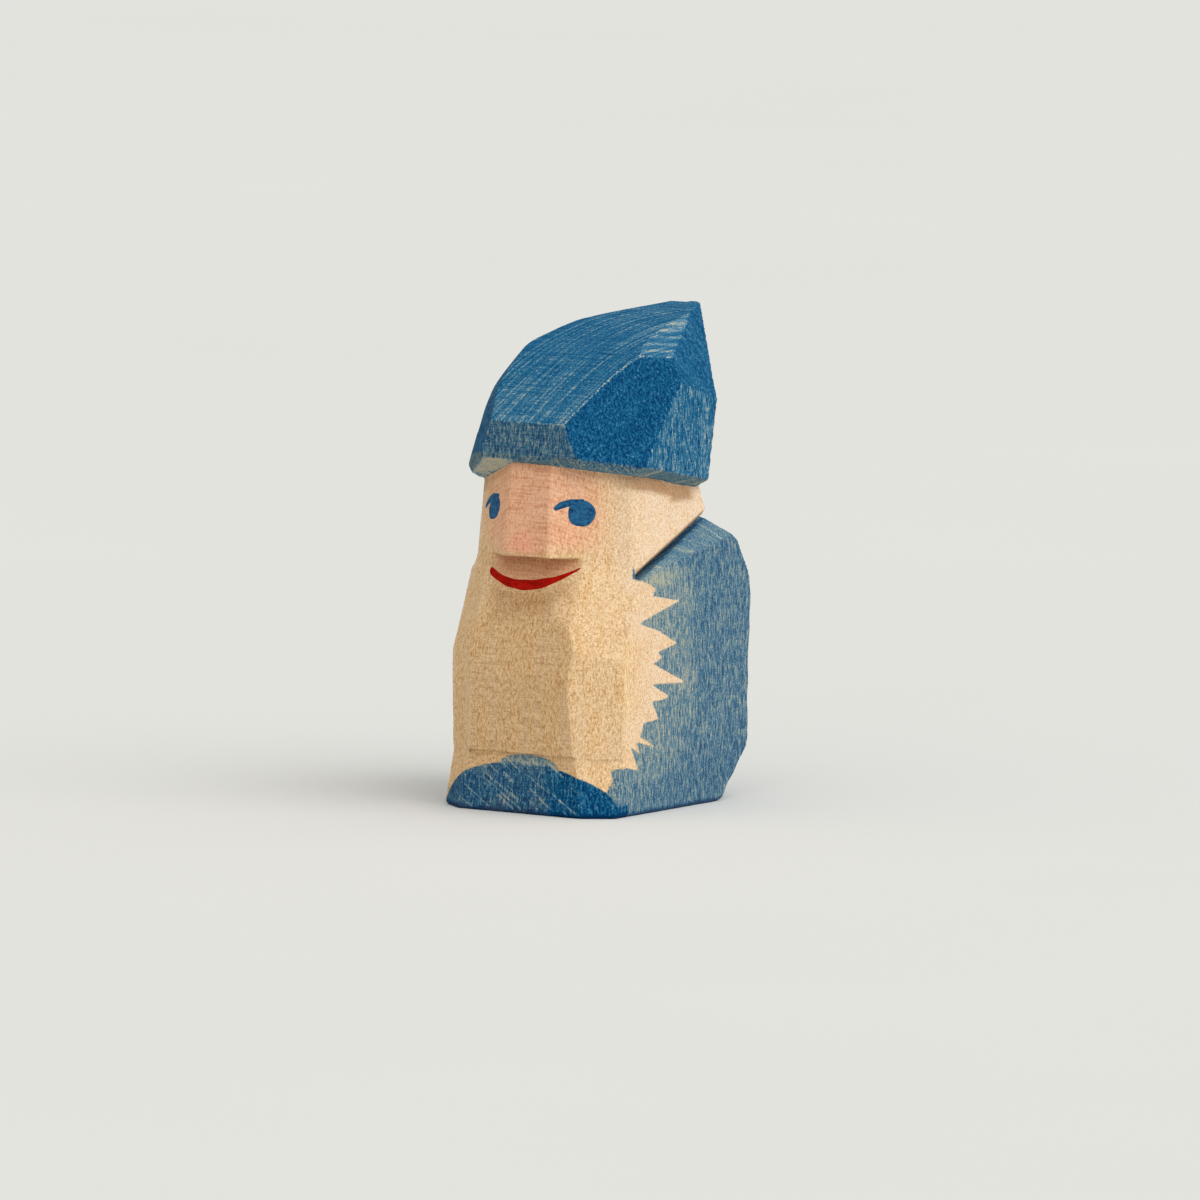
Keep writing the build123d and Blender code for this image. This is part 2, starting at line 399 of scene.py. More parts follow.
def skin():
    """Closed quad mesh of the block: one vertex in each grid cell that the surface crosses,
    settled onto the surface and spread evenly along it, with the base laid flat on z = 0."""
    lo = np.array([-HALF_BOARD, BASE_Y, 0.0]) - 2.1 * GRID
    hi = np.array([HALF_BOARD, BACK_Y, TIP_Z]) + 2.1 * GRID
    axes = [np.arange(lo[i] + 0.17 * GRID, hi[i], GRID) for i in range(3)]
    yz = np.stack(np.meshgrid(axes[1], axes[2], indexing="ij"), -1).reshape(-1, 2)
    values = np.stack([block(np.column_stack([np.full(len(yz), x), yz])) for x in axes[0]])
    values = values.reshape([len(a) for a in axes])
    used, place = cell_points(values)
    number = np.full(used.shape, -1)
    number[used] = np.arange(used.sum())
    p = np.array([a[0] for a in axes]) + (np.argwhere(used) + place) * GRID
    quads = cell_quads(values < 0, number)
    p = settle(even_out(settle(p, rounds=2), quads), rounds=2)
    p[:, 2] = np.where(p[:, 2] < 0.06, 0.0, p[:, 2])
    return p, quads


# ---------------------------------------------------------------- where the finishes lie

# Where the coat's blue stops against the bare beard: brush strokes that end in points.
# (reach round the side, height) in mm, on a sheet held square to the figure's front corner.
TEETH = [
    (4.4, 45.0), (4.4, 28.7), (6.2, 28.2), (7.5, 27.4), (7.0, 26.5), (10.5, 25.9), (5.2, 22.9), (7.8, 22.0),
    (10.2, 20.4), (7.6, 19.2), (8.3, 18.6), (7.1, 17.7), (11.4, 15.3), (6.7, 15.1), (9.3, 13.5), (8.0, 13.0),
    (6.9, 12.9), (7.8, 10.6), (5.9, 10.1), (5.4, 8.3), (7.7, 6.8), (4.8, 7.7), (5.4, 6.1), (4.1, 7.1),
    (5.2, 3.9), (3.7, 4.3), (1.6, 4.0), (1.9, 2.6), (1.1, 1.3), (0.6, -3.0), (60.0, -3.0), (60.0, 45.0),
]
FRONT_Y = -12.5  # the front faces of the foot and the lip lie ahead of this
OUTSIDE = -5.0  # stands for any place well outside a brush stroke


def signed_distance(points, outline):
    """Distance of 2-D points from a closed outline, positive inside it."""
    best = np.full(len(points), 1e9)
    inside = np.zeros(len(points), bool)
    for a, b in zip(outline, outline[1:] + outline[:1]):
        a, b = np.array(a), np.array(b)
        e = b - a
        t = np.clip((points - a) @ e / max(float(e @ e), 1e-9), 0, 1)
        best = np.minimum(best, np.hypot(*(points - a - t[:, None] * e).T))
        rises = (a[1] > points[:, 1]) != (b[1] > points[:, 1])
        x = a[0] + (points[:, 1] - a[1]) * e[0] / (e[1] if abs(e[1]) > 1e-9 else 1e-9)
        inside ^= rises & (points[:, 0] < x)
    return np.where(inside, best, -best)


def hump(x, middle, width):
    """Bell of height 1 at the middle: exp of minus the squared distance in widths."""
    return np.exp(-(((x - middle) / width) ** 2))


def ramp(x, lo, hi):
    """0 at lo, 1 at hi and a smooth cubic between; hi may lie below lo."""
    t = np.clip((x - lo) / (hi - lo), 0, 1)
    return t * t * (3 - 2 * t)


def lip_line(x):
    """Height of the middle of the painted smile: 29.5 + 0.04 (x + 0.9)^2."""
    return 29.5 + 0.04 * (x + 0.9) ** 2


def brush_sheet(p):
    """Reach round the side and height of each point on the sheet that TEETH is drawn on. Reach
    grows fast behind y = 2, which keeps the strokes off the back, and the right side's strokes
    sit 1.3 mm further round and 1.1 mm lower than the left's."""
    side = np.abs(p[:, 0])
    right = p[:, 0] < 0
    reach = 0.812 * side + 0.5835 * p[:, 1] + 2.5 * np.clip(p[:, 1] - 2.0, 0, None)
    height = -0.066 * side + 0.0919 * p[:, 1] + 0.9936 * p[:, 2]
    return np.column_stack([reach - 1.3 * right, height + 1.1 * right])


def foot_strokes(x, y, z):
    """How far inside the two strokes on the front of the foot each point is: half an ellipse
    6.65 mm high with a dip near its middle, and a flat lens of thin wash along its top."""
    arch = 6.65 * np.sqrt(np.clip(1 - ((x - 0.3) / 13.8) ** 2, 0, 1)) - z - 0.35 * hump(x, 1.8, 2.8)
    wash = 1.0 - ((x - 1.2) / 4.6) ** 2 - ((z - 6.3 + 0.03 * x) / 1.4) ** 2
    return np.where(y < FRONT_Y, arch, OUTSIDE), np.where(y < FRONT_Y, wash, OUTSIDE)


def cap_stain(p, facet, on_cap, drop):
    """Depth of the stain on the cap: one depth for each cut, thinner on the crown towards the
    brow, near full along the lower edge, where stain pooled in the crease under the brim and
    painted shade lies, and streaked where the brim drops (drop is 1 there)."""
    by_cut = [stain for plane, stain in list(CAP_CUTS.values()) + BRIM_BEVELS]
    back, crown_top = 0.74, 0.86
    depth = np.array(by_cut + [back, crown_top])[facet]
    depth = depth - 0.12 * ramp(p[:, 1], -5.0, -13.0) * (facet == len(by_cut) + 1)
    # Near full depth close to the crease under the brim: pooled stain, and painted shade
    depth = np.maximum(depth, 0.95 * ramp(on_cap, 0.4, 0.05))
    depth = depth - 0.5 * drop * ripple(p, 31, 1.6, (3.0, 1.0, 1.0)) - 0.15 * drop
    # Broad strokes where the small cut beside the tip crosses the rings
    x, y = p[:, 0], p[:, 1]
    strokes = ramp(np.sin((y - 0.6 * x - 0.03 * x * x) * 2 * math.pi / 2.5), 0.1, 0.8)
    return depth - 0.3 * strokes * (on_cap > 0) * (facet == CAP_FACETS.index("tip_shoulder"))


def body_stain(p, normals, sheet, teeth, arch, wash, on_body):
    """Depth of the stain on coat and foot: thin at the teeth and deeper behind them, deeper on
    level faces, on the foot's arch, under the hair, where stain pooled in the crease and painted
    shade lies, and at the very bottom, where the extra depth is painted shade along the base."""
    x, y, z = p.T
    reach, height = sheet.T
    depth = 0.42 + 0.24 * ramp(teeth, 0.0, 6.0) + 0.1 * ramp(z, 10.0, 1.0)
    depth += 0.12 * ramp(normals[:, 2], 0.25, 0.6)
    # A wiped patch on the shoulder, just above the topmost tooth
    depth -= 0.4 * hump(reach, 8.4, 2.4) * hump(height - 0.3 * (reach - 8.0), 28.9, 0.9)
    # Deeper just under the hair: stain pooled in the crease, and painted shade under the hair's hem
    depth += 0.3 * ramp(on_body, 1.6, 0.3) * (z > 25)
    depth -= 0.14 * ramp(np.abs(normals[:, 0]), 0.6, 0.75) * ramp(normals[:, 2], 0.3, 0.5)
    depth = np.where(arch > 0, 0.84 + 0.1 * ramp(x, 3.0, 9.0), depth)
    depth = np.where((wash > 0) & (arch < 0) & (teeth < 0), 0.4, depth)
    # The extra depth along the very bottom is painted shade where the base meets the floor
    return depth + 0.6 * ramp(z, 0.9, 0.2)


def worn_edges(cap_cuts, body_cuts, on_cap, z):
    """Gap between the two highest cuts, in mm: small along a knife edge, which wears there. The
    edge between the crown and its left corner wears most, and the foot doesn't wear."""
    cap_two, body_two = np.sort(cap_cuts, axis=0)[-2:], np.sort(body_cuts, axis=0)[-2:]
    edge = np.where(on_cap > 0, cap_two[1] - cap_two[0], body_two[1] - body_two[0] + 9.0 * (z < 10))
    left_corner = cap_cuts[CAP_FACETS.index("left_corner")]
    crown_corner = (cap_cuts[-1] > -0.4) & (left_corner > -0.4) & (on_cap > 0)
    return edge + np.where(crown_corner, 0.0, 0.11)


def shaved_wood(p, normals, teeth, on_cap, on_body):
    """Paler, shaved wood, 0 to 1: on the sides of the head, and beside the stain's teeth."""
    head_side = 0.75 * ramp(np.abs(normals[:, 0]), 0.72, 0.985) * (on_cap < 0) * ramp(on_body, 0.2, -0.4)
    beside = 0.45 * ramp(teeth, -4.0, -0.5) * ramp(p[:, 2], 4.0, 12.0)
    return np.maximum(head_side * (0.6 + 0.4 * ripple(p, 21, 3.5)), beside)


def rosy_wash(p, normals, on_cap, on_body):
    """Rosy wash, 0 to 1: even over the cheeks, strongest on the nose, faint under it."""
    x, y, z = p.T
    front = ramp(-normals[:, 1], 0.2, 0.6) * ramp(z, 33.2, 34.2) * ramp(on_cap, 0.1, -0.3)
    cheeks = 0.5 * ramp(x, 11.0, 6.0) * ramp(x, -13.0, -6.0) * ramp(z, 32.5, 36.0)
    nose = 0.85 * hump(x, -0.4, 4.4) * hump(z, 34.6, 3.4)
    above_lip = ramp(z - lip_line(x), 0.0, 0.6)
    under_nose = 0.4 * ramp(np.abs(x), 7.4, 5.6) * above_lip * ramp(z, 33.6, 33.0) * (y < FRONT_Y)
    return np.maximum(front * np.maximum(cheeks, nose), under_nose * (on_body > -0.2))


def painted_shade_and_old_stain(p, sheet, facet, on_cap, on_body, drop, brim):
    """Brown painted shade with some old stain in it, 0 to 1: under the brim, along the hem of the
    hair, under the nose, on the brim's bevels and front band, and below the lower lip."""
    x, y, z = p.T
    # Painted shade under the brim, deeper and wider on the side of the head
    beside = ramp(sheet[:, 0], 0.5, 5.5) * ramp(y, 4.5, 2.5)
    shade_and_stain = 0.3 * ramp(on_cap, -1.3, -0.1) * (1 - beside) + 0.8 * ramp(on_cap, -2.3, -1.4) * beside
    # Painted shade along the downward bevel of the hair's hem
    hem = p @ hair_hem[0] - hair_hem[1]
    shade_and_stain = np.maximum(shade_and_stain, 0.85 * ramp(hem, -1.15, -0.6) * ramp(y, -11.5, -9.0))
    shade_and_stain = shade_and_stain * (on_cap < 0) * (on_body < 0) * (z > 28)
    over_lip = z - lip_line(x)
    # Painted shade of the nose on the ledge above the lip
    notch = ramp(y, -16.4, -15.4) * ramp(y, -13.0, -14.0) * ramp(over_lip, 0.0, 0.5) * ramp(z, 33.3, 32.9)
    shade_and_stain = np.maximum(shade_and_stain, 0.3 * notch)
    # On the cap, brown on the brim's bevels and front band: painted shade with some old stain in it
    band = facet == CAP_FACETS.index("front_band")
    shade_and_stain = np.where(on_cap > 0, 0.35 * brim * (1 - drop) + 0.15 * band, shade_and_stain)
    # Painted shade below the lower lip
    chin = hump(over_lip, -2.2, 1.6) * ramp(x, 8.0, 4.0) * ramp(x, -8.0, -4.0) * (over_lip < 0)
    return np.maximum(shade_and_stain, 0.45 * (y < -13) * chin)


def finish_maps(p, normals):
    """Values at each point that place the finishes on the wood, distances in mm."""
    cap, head, coat, foot = forms(p)
    x, y, z = p.T
    cap_cuts = np.stack(distances(p, CAP) + cap_curves(p))
    facet = cap_cuts.argmax(0)
    brim = (facet >= len(CAP_FACETS)) & (facet < len(CAP))
    sheet = brush_sheet(p)
    teeth = signed_distance(sheet, TEETH)
    arch, wash = foot_strokes(x, y, z)
    on_cap = np.minimum(np.minimum(head, coat), foot) - cap
    on_body = np.minimum(head, cap) - np.minimum(coat, foot)
    near_drop = ramp(np.abs(p @ brim_under[0] - brim_under[1]), 0.3, 0.1)
    drop = near_drop * ramp(x, -2.0, -3.5) * (on_cap > 0) * (z > 41)
    body_depth = body_stain(p, normals, sheet, teeth, arch, wash, on_body)
    # Where the stain went on thin enough for the wood to grey it
    foot_thin = (0.5 + 0.5 * ramp(ripple(p, 17, 4.0), 0.5, 0.7)) * ramp(x, 5.5, 3.0)
    cap_thin = 0.7 * ((facet == CAP_FACETS.index("front_band")) | brim)
    return {
        "stained": np.maximum(on_cap, np.minimum(on_body, np.maximum(teeth, np.maximum(arch, wash)))),
        "depth": np.where(on_cap > 0, cap_stain(p, facet, on_cap, drop), body_depth),
        "edge": worn_edges(cap_cuts, np.stack(distances(p, BEARD_AND_COAT)), on_cap, z),
        "rosy": rosy_wash(p, normals, on_cap, on_body),
        "pale": shaved_wood(p, normals, teeth, on_cap, on_body),
        "shade_and_stain": painted_shade_and_old_stain(p, sheet, facet, on_cap, on_body, drop, brim),
        "thin": np.where(on_cap > 0, cap_thin, np.where(arch > 0, foot_thin, 1.0)),
        "across": x - 0.32 * y - 0.08 * np.clip(y - 5.0, 0, None) ** 2,  # across the growth rings
    }


# ---------------------------------------------------------------- paint films

def slide(p, direction, level):
    """Slide points along a direction until the block's distance equals level, by halving."""
    low, high = np.full(len(p), -2.5), np.full(len(p), 2.5)
    for _ in range(24):
        middle = (low + high) / 2
        out = block(p + middle[:, None] * direction) > level
        high, low = np.where(out, middle, high), np.where(out, low, middle)
    return p + ((low + high) / 2)[:, None] * direction


def paint_film(flat, direction, thickness):
    """Closed skin of paint over a grid of points (m, n, 3): the top is the grid slid along the
    direction to the paint's thickness, the underside is slid just into the wood, and the two
    share the grid's border. The paint reaches its full thickness three grid steps in."""
    m, n = flat.shape[:2]
    u, v = np.linspace(0, 1, m)[:, None], np.linspace(0, 1, n)[None, :]
    rim = np.minimum(np.minimum(u, 1 - u) * (m - 1), np.minimum(v, 1 - v) * (n - 1))
    rise = np.where(rim < 0.5, -0.012, thickness * np.minimum(1.0, 0.55 + 0.15 * rim))
    top = slide(flat.reshape(-1, 3), direction, rise.ravel())
    inner = (rim >= 0.5).ravel()
    under = slide(flat.reshape(-1, 3)[inner], direction, np.full(inner.sum(), -0.06))
    index = np.arange(m * n).reshape(m, n)
    below = index.copy().ravel()
    below[inner] = m * n + np.arange(inner.sum())
    below = below.reshape(m, n)
    face = np.stack([index[:-1, :-1], index[1:, :-1], index[1:, 1:], index[:-1, 1:]], -1).reshape(-1, 4)
    back = np.stack([below[:-1, :-1], below[:-1, 1:], below[1:, 1:], below[1:, :-1]], -1).reshape(-1, 4)
    points = np.concatenate([top, under])
    a, b, c = points[face[len(face) // 2][:3]]
    if np.cross(b - a, c - b) @ direction < 0:
        face, back = face[:, ::-1], back[:, ::-1]
    return points, np.concatenate([face, back])


def joined(shells):
    """One list of points and faces from several."""
    points, faces, count = [], [], 0
    for p, f in shells:
        points.append(p)
        faces.append(f + count)
        count += len(p)
    return np.concatenate(points), np.concatenate(faces)


def cheek_frame(side):
    """Outward direction of a cheek, and the directions on it to the figure's left and up."""
    n = np.array((CHEEK_NORMAL[0] * side, CHEEK_NORMAL[1], CHEEK_NORMAL[2]))
    n /= np.linalg.norm(n)
    left = np.array((0.798, 0.591 * side, 0.0))
    left /= np.linalg.norm(left)
    return n, left, np.cross(n, left)


def eye_film(side, centre, radius, wide, lean, lid):
    """A round dab and, from its top, one brush stroke that falls towards the figure's right.
    Dab: a square grid drawn out to a disc, x = u sqrt(1 - v^2/2), y = v sqrt(1 - u^2/2), with
    half height radius and half width wide, slanted by lean. Stroke: a bend of the three points
    of lid, carried as a strip whose width runs out at the tip."""
    n, left, up = cheek_frame(side)
    u, v = np.meshgrid(np.linspace(-1, 1, 41), np.linspace(-1, 1, 41), indexing="ij")
    a, b = u * np.sqrt(1 - v * v / 2), v * np.sqrt(1 - u * u / 2)
    turn = np.arctan2(b, a)
    wobble = 1 + 0.025 * np.sin(2 * turn + 0.6) + 0.02 * np.sin(5 * turn + side)
    dab = centre + (wide * wobble * a + lean * b)[..., None] * left + (radius * wobble * b)[..., None] * up
    shells = [paint_film(dab, n, 0.055 + 0.012 * np.sin(9 * b + 2 * a))]
    s = np.linspace(0, 1, 45)[:, None]
    w = np.linspace(-1, 1, 11)[None, :]
    (x0, y0), (x1, y1), (x2, y2) = lid
    x = (1 - s) ** 2 * x0 + 2 * s * (1 - s) * x1 + s * s * x2
    y = (1 - s) ** 2 * y0 + 2 * s * (1 - s) * y1 + s * s * y2
    dx, dy = np.gradient(x, axis=0), np.gradient(y, axis=0)
    length = np.hypot(dx, dy)
    half = 0.56 * np.sqrt(np.clip(1 - np.clip((s - 0.72) / 0.3, 0, 1) ** 2, 0.02, 1)) * (1 - 0.25 * s)
    half = half * (1 + 0.05 * np.sin(21 * s))
    x, y = x - w * half * dy / length, y + w * half * dx / length
    stroke = centre + x[..., None] * left + y[..., None] * up
    shells.append(paint_film(stroke, n, 0.042 + 0.008 * np.sin(5 * w + 3 * s)))
    return joined(shells)


def mouth_film():
    """A brush stroke along the lip: a strip about lip_line(x) whose half height swells to 0.65 mm
    in the middle, stays blunt at the figure's right and thins to a point at its left."""
    s = np.linspace(0, 1, 151)[:, None]
    w = np.linspace(-1, 1, 15)[None, :]
    x = -7.08 + 14.16 * s
    half = (0.48 + 0.18 * hump(x, 0.2, 3.5)) * (1 - 0.75 * ramp(x, 2.0, 7.9))
    half = half * np.sqrt(np.clip((x + 7.1) / 0.4, 0.0, 1) * np.clip((7.1 - x) / 0.3, 0.0, 1)) + 0.015
    half = half * (1 + 0.05 * np.sin(31 * s) * ramp(s, 0.0, 0.1))
    z = lip_line(x) + w * half
    flat = np.stack([np.broadcast_to(x, z.shape), np.full_like(z, MOUTH_Y), z], -1)
    toward = np.array((0.0, -1.0, 0.0))
    return paint_film(flat, toward, 0.06 + 0.012 * np.sin(6 * w + 5 * s))


def mesh_object(name, points, faces, normals=None):
    """A mesh object from points in mm and equal-sided faces, shaded smooth."""
    mesh = bpy.data.meshes.new(name)
    sides = faces.shape[1]
    mesh.vertices.add(len(points))
    mesh.vertices.foreach_set("co", (points * MM).astype(np.float32).ravel())
    mesh.loops.add(faces.size)
    mesh.loops.foreach_set("vertex_index", faces.astype(np.int32).ravel())
    mesh.polygons.add(len(faces))
    mesh.polygons.foreach_set("loop_start", np.arange(0, faces.size, sides, dtype=np.int32))
    mesh.update(calc_edges=True)
    mesh.polygons.foreach_set("use_smooth", np.ones(len(faces), bool))
    if normals is not None:
        mesh.normals_split_custom_set_from_vertices(normals.astype(np.float32))
    mesh.update()
    obj = bpy.data.objects.new(name, mesh)
    bpy.context.scene.collection.objects.link(obj)
    return obj


# ---------------------------------------------------------------- finishes

# Settings that many nodes share
SMOOTH = {"interpolation_type": "SMOOTHSTEP"}
TIMES, PLUS, MINUS = {"operation": "MULTIPLY"}, {"operation": "ADD"}, {"operation": "SUBTRACT"}
TIMES_PLUS = {"operation": "MULTIPLY_ADD"}
TIMES_CLAMPED = {"operation": "MULTIPLY", "use_clamp": True}
DOT = {"operation": "DOT_PRODUCT"}
COVER = {"data_type": "RGBA"}
GLAZE = {"data_type": "RGBA", "blend_type": "MULTIPLY"}


def srgb(code):
    """Linear colour of an sRGB hex code."""
    c = np.array([int(code[i:i + 2], 16) for i in (0, 2, 4)]) / 255
    return tuple(np.where(c <= 0.04045, c / 12.92, ((c + 0.055) / 1.055) ** 2.4)) + (1.0,)


def new_material(name):
    """An empty node material and its tree."""
    mat = bpy.data.materials.new(name)
    mat.use_nodes = True
    mat.node_tree.nodes.clear()
    return mat, mat.node_tree


def add_node(tree, kind, settings=None, out=0, **inputs):
    """Add a node, set its properties and its inputs (i0, i1... by place, or by name with _ for
    a space; a socket is linked, anything else is a value) and give back one output."""
    node = tree.nodes.new(kind)
    for key, value in (settings or {}).items():
        setattr(node, key, value)
    for key, value in inputs.items():
        numbered = key[0] == "i" and key[1:].isdigit()
        socket = node.inputs[int(key[1:]) if numbered else key.replace("_", " ")]
        if isinstance(value, bpy.types.NodeSocket):
            tree.links.new(value, socket)
        else:
            socket.default_value = value
    return node.outputs[out] if node.outputs else None


def millimetres(t):
    """Place on the object in mm."""
    place = add_node(t, "ShaderNodeTexCoord", out="Object")
    return add_node(t, "ShaderNodeVectorMath", {"operation": "SCALE"}, i0=place, Scale=1000.0)


def maple_grain(t):
    """What the wood and the tools left on every face, as named sockets. Mapping scales are per mm."""
    mm = millimetres(t)
    facing = add_node(t, "ShaderNodeSeparateXYZ", i0=add_node(t, "ShaderNodeNewGeometry", out="Normal")).node
    up = add_node(t, "ShaderNodeMath", {"operation": "ABSOLUTE"}, i0=facing.outputs["Z"])
    sideways = add_node(t, "ShaderNodeMath", {"operation": "ABSOLUTE"}, i0=facing.outputs["X"])
    place = add_node(t, "ShaderNodeSeparateXYZ", i0=mm).node
    g = {"mm": mm, "facing": facing.outputs, "place": place.outputs}
    g["end_grain"] = add_node(t, "ShaderNodeMapRange", SMOOTH, i0=up, i1=0.3, i2=0.7)
    g["sawn"] = add_node(t, "ShaderNodeMapRange", SMOOTH, i0=sideways, i1=0.3, i2=0.06)

    # Vessel flecks, 0.25 mm wide and 0.6 mm long, along the grain
    at = add_node(t, "ShaderNodeMapping", Vector=mm, Scale=(4.4, 4.4, 1.6))
    g["fleck"] = add_node(
        t, "ShaderNodeTexNoise", Vector=at, Scale=1.0, Detail=3.0, Roughness=0.65, Distortion=0.4,
    )
    # Longer veins that take the stain unevenly, 0.25 mm by 1.2 mm
    at = add_node(t, "ShaderNodeMapping", Vector=mm, Scale=(4.0, 4.0, 0.85))
    g["vein"] = add_node(t, "ShaderNodeTexNoise", Vector=at, Scale=1.0, Detail=3.0, Roughness=0.6)
    # Broader bands of lighter and darker wood, 1.5 mm by 12 mm
    at = add_node(t, "ShaderNodeMapping", Vector=mm, Scale=(0.62, 0.62, 0.08))
    g["band"] = add_node(t, "ShaderNodeTexNoise", Vector=at, Scale=1.0, Detail=2.0, Roughness=0.5)
    # Fuzz of the cut surface, 0.25 mm
    g["fuzz"] = add_node(t, "ShaderNodeTexNoise", Vector=mm, Scale=4.3, Detail=3.0, Roughness=0.7)

    # Saw lines, level across the board and 0.25 mm apart: they rise towards the front, and fall
    # on undersides, so that they cross every face
    lean = add_node(t, "ShaderNodeMapRange", i0=g["facing"]["Z"], i1=-0.6, i2=-0.4, i3=-2.2, i4=2.2)
    height = add_node(t, "ShaderNodeMath", TIMES, i0=g["place"]["Z"], i1=3.7)
    height = add_node(t, "ShaderNodeMath", TIMES_PLUS, i0=g["place"]["Y"], i1=lean, i2=height)
    along = add_node(t, "ShaderNodeVectorMath", DOT, out="Value", i0=mm, i1=(0.16, 0.0, 0.0))
    at = add_node(t, "ShaderNodeCombineXYZ", X=along, Z=height)
    g["saw"] = add_node(t, "ShaderNodeTexNoise", Vector=at, Scale=1.0, Detail=2.0, Roughness=0.55)

    # Growth rings, 0.5 to 1 mm apart, long along the ring and sharp across it
    across = add_node(t, "ShaderNodeAttribute", {"attribute_name": "across"}, out="Fac")
    step = add_node(t, "ShaderNodeMath", TIMES, i0=across, i1=2.1)
    along = add_node(t, "ShaderNodeVectorMath", DOT, out="Value", i0=mm, i1=(0.0, 0.05, 0.02))
    at = add_node(t, "ShaderNodeCombineXYZ", X=step, Y=along)
    g["ring"] = add_node(t, "ShaderNodeTexNoise", Vector=at, Scale=1.0, Detail=3.0, Roughness=0.6)
    return g


def raw_maple(t, g, rosy, pale):
    """Colour of the bare wood: cream ground, honey flecks, faint saw lines and a rosy wash."""
    raw = add_node(t, "ShaderNodeValToRGB", i0=g["fleck"])
    stops = raw.node.color_ramp.elements
    stops[0].position, stops[0].color = 0.33, srgb("C69862")
    stops[1].position, stops[1].color = 0.6, srgb("FADCB2")
    stops.new(0.47).color = srgb("EDC896")
    banded = add_node(t, "ShaderNodeMapRange", SMOOTH, i0=g["band"], i1=0.38, i2=0.66, i3=0.0, i4=0.34)
    raw = add_node(t, "ShaderNodeMix", COVER, out=2, i0=banded, i6=raw, i7=srgb("F8E3C3"))
    # Saw lines show in patches on sawn faces, and everywhere on undersides
    dark = add_node(t, "ShaderNodeMapRange", SMOOTH, i0=g["saw"], i1=0.53, i2=0.36)
    dark = add_node(t, "ShaderNodeMath", TIMES, i0=dark, i1=g["sawn"])
    patch = add_node(t, "ShaderNodeMapRange", SMOOTH, i0=g["band"], i1=0.4, i2=0.62, i3=0.06, i4=0.3)
    under = add_node(t, "ShaderNodeMapRange", i0=g["facing"]["Z"], i1=-0.4, i2=-0.6, i4=0.6)
    patch = add_node(t, "ShaderNodeMath", PLUS, i0=patch, i1=under)
    dark = add_node(t, "ShaderNodeMath", TIMES, i0=dark, i1=patch)
    raw = add_node(t, "ShaderNodeMix", COVER, out=2, i0=dark, i6=raw, i7=srgb("A27449"))
    # Sawn faces, rougher than knife-cut ones, are glazed a little darker: partly painted shade for the
    # shaded front
    raw = add_node(t, "ShaderNodeMix", GLAZE, out=2, i0=g["sawn"], i6=raw, i7=srgb("F3EFEA"))
    raw = add_node(t, "ShaderNodeMix", COVER, out=2, i0=pale, i6=raw, i7=srgb("F2DFCB"))
    # Fine fuzz raised by the knife, with painted shade darkening its hollows
    fuzz_hollow_shade = add_node(t, "ShaderNodeMapRange", SMOOTH, i0=g["fuzz"], i1=0.56, i2=0.36, i4=0.75)
    raw = add_node(t, "ShaderNodeMix", GLAZE, out=2, i0=fuzz_hollow_shade, i6=raw, i7=srgb("DCC09B"))
    # Rosy wash: a thin red glaze, uneven with the fuzz
    blush = add_node(t, "ShaderNodeMath", TIMES_PLUS, i0=g["fuzz"], i1=0.8, i2=0.6)
    blush = add_node(t, "ShaderNodeMath", TIMES_CLAMPED, i0=blush, i1=rosy)
    raw = add_node(t, "ShaderNodeMix", COVER, out=2, i0=blush, i6=raw, i7=srgb("FFBDA2"))
    # Flecks and saw lines show through the wash
    lines = add_node(t, "ShaderNodeMapRange", SMOOTH, i0=g["saw"], i1=0.56, i2=0.36)
    pores = add_node(t, "ShaderNodeMapRange", SMOOTH, i0=g["fleck"], i1=0.52, i2=0.3)
    through = add_node(t, "ShaderNodeMath", TIMES_PLUS, i0=lines, i1=0.8, i2=pores)
    through = add_node(t, "ShaderNodeMath", TIMES_CLAMPED, i0=through, i1=blush)
    return add_node(t, "ShaderNodeMix", GLAZE, out=2, i0=through, i6=raw, i7=srgb("E4BCA6"))


def foot_scratches(t, g):
    """Slanting scratches across the front of the foot, 0.15 mm wide and about 1 mm apart."""
    across = add_node(t, "ShaderNodeVectorMath", DOT, out="Value", i0=g["mm"], i1=(1.25, 0.0, 1.95))
    along = add_node(t, "ShaderNodeVectorMath", DOT, out="Value", i0=g["mm"], i1=(0.15, 0.0, -0.1))
    at = add_node(t, "ShaderNodeCombineXYZ", X=across, Y=along)
    scratch = add_node(t, "ShaderNodeTexNoise", Vector=at, Scale=1.0, Detail=1.0)
    scratch = add_node(t, "ShaderNodeMapRange", SMOOTH, i0=scratch, i1=0.58, i2=0.63, i4=0.42)
    low = add_node(t, "ShaderNodeMapRange", SMOOTH, i0=g["place"]["Z"], i1=8.2, i2=7.0)
    front = add_node(t, "ShaderNodeMapRange", SMOOTH, i0=g["facing"]["Y"], i1=-0.8, i2=-0.95)
    scratch = add_node(t, "ShaderNodeMath", TIMES, i0=scratch, i1=low)
    return add_node(t, "ShaderNodeMath", TIMES, i0=scratch, i1=front)


